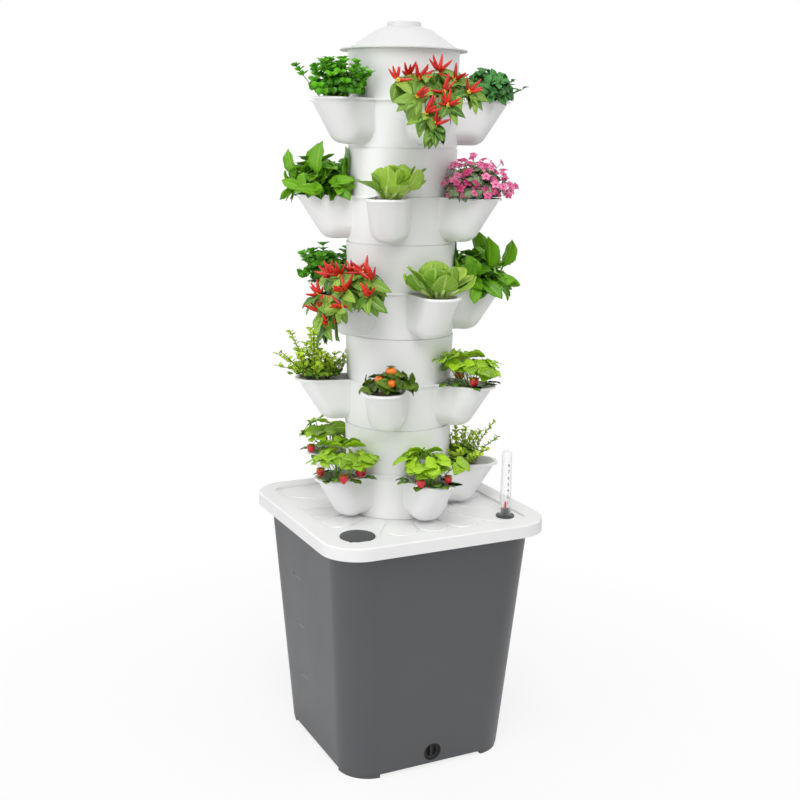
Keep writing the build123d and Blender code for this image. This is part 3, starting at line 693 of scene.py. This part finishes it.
def mound(plant, count, spread, height, inner):
    """Places spread through a dome over the pot, with their headings out of it and how far out they lie."""
    for i in range(count):
        turn = 2 * pi * (i * GOLDEN_SHARE + MOUND_STRAY * plant.draw.random())
        rise = (i + 0.5) / count
        flat = (1 - rise * rise) ** 0.5
        out = Vector((flat * cos(turn), flat * sin(turn), rise))
        depth = plant.draw.uniform(inner, 1.0)
        at = CROWN + Vector((out.x * spread * MOUND_OVAL, out.y * spread, out.z * height)) * depth
        yield at, out, depth


def depth_tint(plant, depth, darkest, stray):
    """Painted shade: tint from dark inside a plant to light outside, with a stray of its own."""
    return min(1.0, max(0.0, TINT_RISE * (depth - darkest) + plant.draw.uniform(*stray)))


def leaf_mound(plant, template, count, spread, height, sizes, inner, lift, droop):
    """Dome of leaves that lie on it like shingles, painted darker inside as shade."""
    for at, out, depth in mound(plant, count, spread, height, inner):
        stray = Vector([plant.draw.uniform(-1, 1) for _ in range(3)]) + DOWN * droop
        heading = (stray - out * stray.dot(out)).normalized() + out * lift
        tint = depth_tint(plant, depth, darkest=inner, stray=(-0.3, 0.3))
        length = plant.draw.uniform(*sizes)
        plant.place(template, LEAVES[plant.crop], at, heading, length, face_up=out, tint=tint)


def fan(plant, count, tilts, lengths, spread=0.012):
    """Starts, headings, lengths and turns of stems that fan out of a pot."""
    for i in range(count):
        turn = 2 * pi * (i * GOLDEN_SHARE + FAN_STRAY * plant.draw.random())
        start = CROWN + level(turn) * spread * plant.draw.random() + DOWN * ROOT_DEPTH
        heading = spray(radians(plant.draw.uniform(*tilts)), turn)
        yield start, heading, plant.draw.uniform(*lengths), turn


def grow_parsley(plant):
    """Dense mound of lobed leaves, five to a sprig, with a few sprigs standing out of it."""
    leaf = LEAVES["parsley"]
    sprigs = list(mound(plant, 100, spread=0.046, height=0.040, inner=0.3))
    for start, heading, length, _ in fan(plant, 16, tilts=(10, 46), lengths=(0.044, 0.062), spread=0.02):
        plant.stem((start, start + heading * length), radius=0.0008)
        sprigs += [(start + heading * length * share, heading, 1.0) for share in (0.75, 0.88, 1.0)]
    for at, out, depth in sprigs:
        tint = depth_tint(plant, depth, darkest=0.4, stray=(-0.3, 0.4))
        swing = plant.draw.uniform(0, 2 * pi)
        for step in range(LEAFLETS):
            heading = spray(radians(68), swing + step * LEAFLET_STEP) + out * 0.5
            length = plant.draw.uniform(0.008, 0.012)
            plant.place("lobe", leaf, at, heading, length, face_up=out, tint=tint)


def grow_oregano(plant):
    """Low dark bush of small leaves."""
    leaf = LEAVES["oregano"]
    leaf_mound(
        plant, "small", 300, spread=0.038, height=0.036, sizes=(0.012, 0.018), inner=0.3, lift=0.8, droop=0.0)
    for start, heading, length, turn in fan(plant, 14, tilts=(30, 80), lengths=(0.036, 0.052), spread=0.02):
        plant.stem((start, start + heading * length), radius=0.0007)
        for step in range(6):
            at = start + heading * length * (0.5 + 0.1 * step)
            plant.place("small", leaf, at, spray(radians(65), turn + step * 2.4), length=0.011)


def grow_spinach(plant):
    """Mound of broad glossy leaves, with a few tall ones on a full-grown plant."""
    leaf = LEAVES["spinach"]
    leaf_mound(
        plant, "broad", 150, spread=0.036, height=0.036, sizes=(0.022, 0.033), inner=0.2, lift=0.8, droop=0.0)
    tall = ((1.25, 16, 0.046), (-1.2, 14, 0.044), (0.1, 24, 0.036), (2.8, 12, 0.042))
    for turn, lean, size in tall if plant.full_grown else ():
        heading = spray(radians(lean), turn)
        start = CROWN + level(turn) * 0.02
        plant.stem((start + DOWN * 0.008, start + heading * 0.026), radius=0.0015)
        # The tall leaves stand out of the mound and take the light end of its painted shade.
        plant.place("broad", leaf, start + heading * 0.025, heading, size, face_up=level(0.6), tint=0.8)


def grow_bok_choy(plant):
    """Upright spoon-shaped leaves on thick pale stalks."""
    leaf = LEAVES["bok_choy"]
    for ring, (count, tilt, size) in enumerate(((4, 8, 0.044), (5, 24, 0.047), (6, 50, 0.048))):
        for i in range(count):
            turn = 2 * pi * (i + 0.5 * ring) / count + plant.draw.uniform(-0.25, 0.25)
            heading = spray(radians(tilt + plant.draw.uniform(-8, 8)), turn)
            start = CROWN + level(turn) * 0.008 + DOWN * 0.006
            length = size * plant.draw.uniform(0.85, 1.12)
            facing = level(turn) * plant.draw.choice((-1, 1)) + UP * 0.5
            plant.place("spoon", leaf, start, heading, length, face_up=facing)
            plant.stem((start, start + heading * length * 0.45), radius=0.0030, look=STALK_PALE)


def flower(plant, at, facing, size, look, centre):
    """Open flower of five petals round a small eye."""
    side = facing.cross(Vector((0.3, 0.2, 1))).normalized()
    other = facing.cross(side)
    tint = plant.draw.random()
    for i in range(PETALS):
        turn = 2 * pi * i / PETALS
        out = side * cos(turn) + other * sin(turn) + facing * 0.2
        plant.place("petal", look, at, out, size, face_up=facing, tint=tint)
    plant.place("round_fruit", centre, at + facing * 0.0008, ASIDE, size * 0.3)


def grow_begonia(plant):
    """Grey-green bush covered with small pink flowers."""
    leaf_mound(
        plant, "small", 320, spread=0.042, height=0.040, sizes=(0.010, 0.015), inner=0.3, lift=0.6, droop=0.1)
    for at, out, _ in mound(plant, 120, spread=0.052, height=0.056, inner=0.66):
        if plant.draw.random() < 0.8:
            plant.stem((at - out * 0.012, at), radius=0.0005)
            facing = (out * 0.6 + level(plant.draw.uniform(-2.2, 0.6)) * 0.7 + UP * 0.5).normalized()
            flower(plant, at, facing, plant.draw.uniform(0.0052, 0.0072), PETAL_PINK, BERRY_RED)
    strays = ((1.5, 0.054, 0.02), (1.3, 0.05, 0.044), (-1.5, 0.052, 0.002), (0.9, 0.056, 0.012))
    for turn, reach, rise in strays:
        end = CROWN + level(turn) * reach + UP * rise
        plant.stem((CROWN + UP * 0.01, end), radius=0.0006)
        flower(plant, end, (level(turn - 1.2) + UP * 0.5).normalized(), 0.006, PETAL_PINK, BERRY_RED)


def grow_box_sprig(plant):
    """Fan of thin twigs with pairs of small round leaves, thick with leaves at the foot, where painted shade
    makes them dark.
    """
    leaf = LEAVES["box_sprig"]
    for at, out, depth in mound(plant, 200, spread=0.034, height=0.020, inner=0.3):
        heading = out + spray(radians(70), plant.draw.uniform(0, 2 * pi)) * 0.8
        size = plant.draw.uniform(0.007, 0.011)
        # Painted shade: leaves deeper in the foot of the bush are darker.
        tint = plant.draw.uniform(0.0, 0.75) * depth
        plant.place("small", leaf, at, heading, size, face_up=out, tint=tint)
    for start, heading, length, turn in fan(plant, 26, tilts=(4, 60), lengths=(0.040, 0.082), spread=0.017):
        bend = start + heading * length * 0.5 + UP * 0.005
        end = start + heading * length
        plant.stem((start, bend, end), radius=0.0007, look=STEM_WOOD)
        facing = level(turn) + UP
        pairs = int(length / TWIG_PAIR_GAP)
        for step in range(pairs):
            share = 0.15 + 0.85 * (step + 0.5) / pairs
            at = start.lerp(bend, share * 2) if share < 0.5 else bend.lerp(end, share * 2 - 1)
            for half in (0, pi):
                out = heading * 0.8 + spray(radians(80), turn + step * TWIG_PAIR_TURN + half)
                size = plant.draw.uniform(0.0056, 0.0094)
                # Painted shade: twig leaves are lighter towards the twig's end, out of the bush.
                plant.place("small", leaf, at, out, size, face_up=facing, tint=0.35 + 0.6 * share)


def grow_tomato(plant):
    """Low plant with dark toothed leaves, round three orange fruits when it is full grown."""
    leaf = LEAVES["tomato"]
    leaf_mound(
        plant, "toothed", 64, spread=0.032, height=0.020, sizes=(0.018, 0.026), inner=0.25, lift=0.6,
        droop=0.0)
    fruits = ((0.008, 0.002, 0.030), (0.016, -0.011, 0.018), (0.018, 0.006, 0.014))
    for at in fruits if plant.full_grown else ():
        centre = CROWN + Vector(at)
        plant.stem((CROWN + DOWN * 0.006, centre + UP * 0.008), radius=0.0009)
        plant.place("round_fruit", FRUIT_ORANGE, centre, ASIDE, length=0.0148)
        for i in range(SEPALS):
            plant.place("small", leaf, centre + UP * 0.0076, spray(radians(82), i * SEPAL_STEP), length=0.007)


def grow_strawberry(plant):
    """Canopy of round toothed leaves in threes on bare stalks, with leaves below painted dark as shade, and
    berries at the rim.
    """
    leaf = LEAVES["strawberry"]
    for start, heading, length, turn in fan(plant, 9, tilts=(55, 80), lengths=(0.016, 0.026)):
        end = start + heading * length
        plant.stem((start, end), radius=0.0008)
        size = plant.draw.uniform(0.016, 0.022)
        out = level(turn) + UP * 0.25
        # Painted shade: the low leaves under the canopy take a dark tint.
        plant.place("round_toothed", leaf, end, out, size, face_up=level(turn) + UP, tint=0.1)
    for start, heading, length, turn in fan(plant, 13, tilts=(6, 44), lengths=(0.036, 0.052)):
        end = start + heading * length
        plant.stem((start, start.lerp(end, 0.5) + UP * 0.002, end), radius=0.0009)
        tint = plant.draw.uniform(0.3, 1.0)
        facing = level(turn) * 0.6 + UP * 0.8
        for aside in (-1.25, 0.0, 1.25):
            out = level(turn + aside) + heading * 0.3 + DOWN * plant.draw.uniform(-0.1, 0.45)
            size = plant.draw.uniform(0.021, 0.030)
            plant.place("round_toothed", leaf, end, out, size, face_up=facing, tint=tint)
    for turn, out, rise in ((-0.75, 0.031, 0.007), (0.9, 0.030, 0.006), (2.4, 0.026, 0.006)):
        hang = CROWN + level(turn) * out + UP * rise
        plant.stem((CROWN, CROWN.lerp(hang, 0.6) + UP * 0.016, hang), radius=0.0007)
        plant.place("berry", BERRY_RED, hang + DOWN * 0.003, ASIDE, length=0.0155)
        for i in range(SEPALS):
            plant.place("small", leaf, hang + UP * 0.0035, spray(radians(95), i * SEPAL_STEP), length=0.008)


# Sprays of a chili plant from the middle of its pot: out, aside, up, in metres
CHILI_SPRAYS = (
    (0.002, 0.016, 0.030), (0.008, -0.042, 0.020), (0.014, -0.018, 0.018), (0.012, 0.036, 0.018),
    (0.022, 0.048, 0.004), (0.030, 0.008, 0.004), (0.040, -0.026, -0.006), (0.042, 0.014, -0.016),
    (0.044, -0.008, -0.040), (-0.012, -0.022, 0.022), (0.043, -0.020, -0.024),
)


def grow_chili(plant):
    """Sprays of red pods and drooping leaves that hang over the front of the pot."""
    leaf = LEAVES["chili"]
    leaf_mound(
        plant, "broad_droop", 44, spread=0.038, height=0.026, sizes=(0.022, 0.030), inner=0.4, lift=0.3,
        droop=0.9)
    for place in CHILI_SPRAYS:
        at = CROWN + Vector(place) + Vector([plant.draw.uniform(-0.003, 0.003) for _ in range(3)])
        plant.stem((CROWN + DOWN * 0.006, CROWN.lerp(at, 0.6) + UP * 0.012, at), radius=0.0011)
        for _ in range(8):
            turn = plant.draw.uniform(-1.9, 1.9)
            out = spray(radians(plant.draw.uniform(80, 155)), turn)
            length = plant.draw.uniform(0.018, 0.029)
            facing = level(turn * 0.5) + UP * 0.3
            plant.place("broad_droop", leaf, at + DOWN * 0.004, out, length, face_up=facing)
        for _ in range(plant.draw.choice((5, 6, 7))):
            out = spray(radians(plant.draw.uniform(10, 100)), plant.draw.uniform(-1.9, 1.9))
            length = plant.draw.uniform(0.017, 0.026)
            plant.place("pod", CHILI_RED, at, out, length, tint=plant.draw.random())
        facing = level(plant.draw.uniform(-0.7, 0.7))
        flower(plant, at + level(0) * 0.004, facing, 0.0035, PETAL_YELLOW, STEM_GREEN)


GROWERS = {
    "parsley": grow_parsley, "oregano": grow_oregano, "spinach": grow_spinach, "bok_choy": grow_bok_choy,
    "begonia": grow_begonia, "box_sprig": grow_box_sprig, "tomato": grow_tomato,
    "strawberry": grow_strawberry, "chili": grow_chili,
}

for tier in range(1, TIERS + 1):
    tier_turn = ODD_TURN + (TOP_TRIM if tier == 1 else 0) - (POT_STEP / 2 if tier % 2 == 0 else 0)
    for pot, crop in enumerate(PLANTING[tier - 1]):
        plant = Plant(crop, 100 * tier + pot, (tier, pot + 1) in FULL_GROWN)
        GROWERS[crop](plant)
        plant.settle(*HABITS.get((tier, pot + 1), NO_HABIT))
        name = f"{crop}_{tier}_{pot + 1}"
        piece = plant.build(name, tier, tier_turn + pot * POT_STEP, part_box(f"planter_{tier}")[0][2])
        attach(piece, f"tier_{tier}")
        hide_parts(f"plants_{tier}")


# Numbers of the level gauge and the level marks on the tank
def solid_number(text, height, thick):
    """Number as a mesh, centred on its height and facing +Z."""
    bpy.ops.object.text_add()
    number = bpy.context.object
    number.data.body = text
    number.data.size = height
    number.data.extrude = thick / 2
    number.data.align_y = "CENTER"
    bpy.ops.object.convert(target="MESH")
    return bpy.context.object


def tick(length, height, thick):
    """Flat bar from the origin along +X, facing +Z."""
    bpy.ops.mesh.primitive_cube_add(size=1.0, location=(length / 2, 0, 0))
    bar = bpy.context.object
    bar.scale = (length, height, thick)
    bpy.ops.object.transform_apply(location=True, rotation=False, scale=True)
    return bar


def set_down(piece, place, right, up):
    """Move a mark's mesh so that its X runs along right and its Y along up."""
    right, up = right.normalized(), up.normalized()
    turn = Matrix((right, up, right.cross(up))).transposed().to_4x4()
    piece.data.transform(Matrix.Translation(place) @ turn)


def join_marks(name, marks, look, body):
    """One piece of all the marks, riding on a body."""
    bpy.ops.object.select_all(action="DESELECT")
    for mark in marks:
        mark.select_set(True)
    bpy.context.view_layer.objects.active = marks[0]
    bpy.ops.object.join()
    piece = bpy.context.object
    piece.name = name
    piece.data.materials.clear()
    piece.data.materials.append(look)
    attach(piece, body)
    bpy.ops.object.select_all(action="DESELECT")


def add_gauge_scale():
    """Numbers up the clear tube, on the side that faces the front."""
    low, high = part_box("gauge_tube")
    axis = Vector(((low[0] + high[0]) / 2, (low[1] + high[1]) / 2, 0))
    reach = (high[0] - low[0]) / 2
    facing = level(radians(GAUGE_TURN))
    right = -facing.cross(UP)
    marks = []
    for i in range(GAUGE_STEPS):
        share = (i + 0.5) / GAUGE_STEPS
        height = low[2] + (GAUGE_FIRST + GAUGE_SPAN * share) * (high[2] - low[2])
        surface = axis + facing * (reach - GAUGE_TAPER * share - GAUGE_SINK) + Vector((0, 0, height))
        number = solid_number(str(i + 1), GAUGE_NUMBER, GAUGE_INK)
        set_down(number, surface, right, UP)
        marks.append(number)
    join_marks("gauge_scale", marks, INK, "lid")


def add_level_marks():
    """Raised litre marks on the tank's side, painted a lighter grey as highlight where they catch the light.
    """
    right = Vector((0, -1, 0))
    lean = Vector((-(TANK_TOP_HALF - TANK_BASE_HALF), 0, TANK_TOP - TANK_FOOT)).normalized()
    marks = []
    for litres, height in LEVEL_MARKS:
        rise = (height - TANK_FOOT) / (TANK_TOP - TANK_FOOT)
        half = TANK_BASE_HALF + rise * (TANK_TOP_HALF - TANK_BASE_HALF)
        number = solid_number(str(litres), LEVEL_NUMBER, LEVEL_RAISE)
        set_down(number, Vector((-half, NUMBER_START, height)), right, lean)
        bar = tick(BAR_LENGTH, BAR_HEIGHT, LEVEL_RAISE)
        set_down(bar, Vector((-half, BAR_START, height)), right, lean)
        marks += [number, bar]
    join_marks("tank_level_marks", marks, MARK_PAINTED_HIGHLIGHT, "base")


add_gauge_scale()
add_level_marks()


# Stage, light and camera
def add_floor():
    """Pale floor that shows white to the camera and keeps a soft shadow."""
    bpy.ops.mesh.primitive_plane_add(size=FLOOR_SIZE, location=(0, 0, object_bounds()[0][2]))
    floor = bpy.context.object
    floor.name = "floor"
    material, tree, shader = new_material("floor_paper")
    shader.inputs["Base Color"].default_value = (0.86, 0.86, 0.86, 1)
    shader.inputs["Roughness"].default_value = 0.9
    paper = tree.nodes.new("ShaderNodeEmission")
    rays = tree.nodes.new("ShaderNodeLightPath")
    blend = tree.nodes.new("ShaderNodeMixShader")
    seen = math_node(tree, "MAXIMUM", rays.outputs["Is Camera Ray"], rays.outputs["Is Transmission Ray"])
    place = tree.nodes.new("ShaderNodeTexCoord")
    away = tree.nodes.new("ShaderNodeVectorMath")
    away.operation = "LENGTH"
    tree.links.new(place.outputs["Object"], away.inputs[0])
    fade = tree.nodes.new("ShaderNodeMapRange")
    fade.inputs["From Min"].default_value = SHADOW_NEAR
    fade.inputs["From Max"].default_value = SHADOW_FAR
    fade.inputs["To Min"].default_value = SHADOW_WHITE
    tree.links.new(away.outputs["Value"], fade.inputs["Value"])
    tree.links.new(math_node(tree, "MULTIPLY", seen, fade.outputs["Result"]), blend.inputs[0])
    tree.links.new(shader.outputs[0], blend.inputs[1])
    tree.links.new(paper.outputs[0], blend.inputs[2])
    tree.links.new(blend.outputs[0], tree.nodes["Material Output"].inputs["Surface"])
    floor.data.materials.append(material)


def add_lamp(name, place, size, power, target=(0, 0, 0.55), spread=180):
    """Soft square lamp aimed at the tower."""
    lamp = bpy.data.lights.new(name, "AREA")
    lamp.size = size
    lamp.energy = power
    lamp.spread = radians(spread)
    holder = bpy.data.objects.new(name, lamp)
    holder.location = place
    holder.rotation_euler = (Vector(target) - Vector(place)).to_track_quat("-Z", "Y").to_euler()
    bpy.context.collection.objects.link(holder)


def add_world(strength):
    """Even light; white behind the object and in its reflections."""
    world = bpy.data.worlds.new("studio")
    bpy.context.scene.world = world
    world.use_nodes = True
    tree = world.node_tree
    background = tree.nodes["Background"]
    background.inputs["Color"].default_value = (1, 1, 1, 1)
    rays = tree.nodes.new("ShaderNodeLightPath")
    seen = math_node(tree, "MAXIMUM", rays.outputs["Is Camera Ray"], rays.outputs["Is Glossy Ray"])
    seen = math_node(tree, "MAXIMUM", seen, rays.outputs["Is Transmission Ray"])
    brightness = math_node(tree, "MULTIPLY_ADD", seen, 1.0 - strength, strength)
    tree.links.new(brightness, background.inputs["Strength"])


def add_camera():
    """Camera at the photograph's place, turn and lens."""
    turn, pitch, roll = radians(CAMERA_AZIMUTH), radians(CAMERA_PITCH), radians(CAMERA_ROLL)
    back = Vector((sin(turn) * cos(pitch), -cos(turn) * cos(pitch), sin(pitch)))
    right = Vector((cos(turn), sin(turn), 0))
    up = back.cross(right)
    tilted_right = right * cos(roll) + up * sin(roll)
    tilted_up = up * cos(roll) - right * sin(roll)
    lens = bpy.data.cameras.new("camera")
    lens.lens = CAMERA_LENS
    lens.sensor_width = SENSOR_WIDTH
    lens.sensor_fit = "HORIZONTAL"
    camera = bpy.data.objects.new("camera", lens)
    camera.rotation_euler = Matrix((tilted_right, tilted_up, back)).transposed().to_euler()
    camera.location = CAMERA_PLACE
    bpy.context.collection.objects.link(camera)
    bpy.context.scene.camera = camera


add_floor()
add_lamp("key", (-2.7, -0.4, 1.2), size=1.6, power=21)
add_lamp("front", (-1.1, -2.2, 2.9), size=1.6, power=34)
add_lamp("fill", (1.9, -1.8, 1.9), size=2.0, power=9)
add_lamp("back_left", (-1.5, 2.0, 1.8), size=1.6, power=4)
add_lamp("lid_light", (-0.35, -0.8, 2.3), size=0.8, power=0.9, target=(-0.02, -0.10, 0.33), spread=42)
add_world(strength=0.53)
add_camera()
bpy.context.scene.view_settings.view_transform = "Standard"
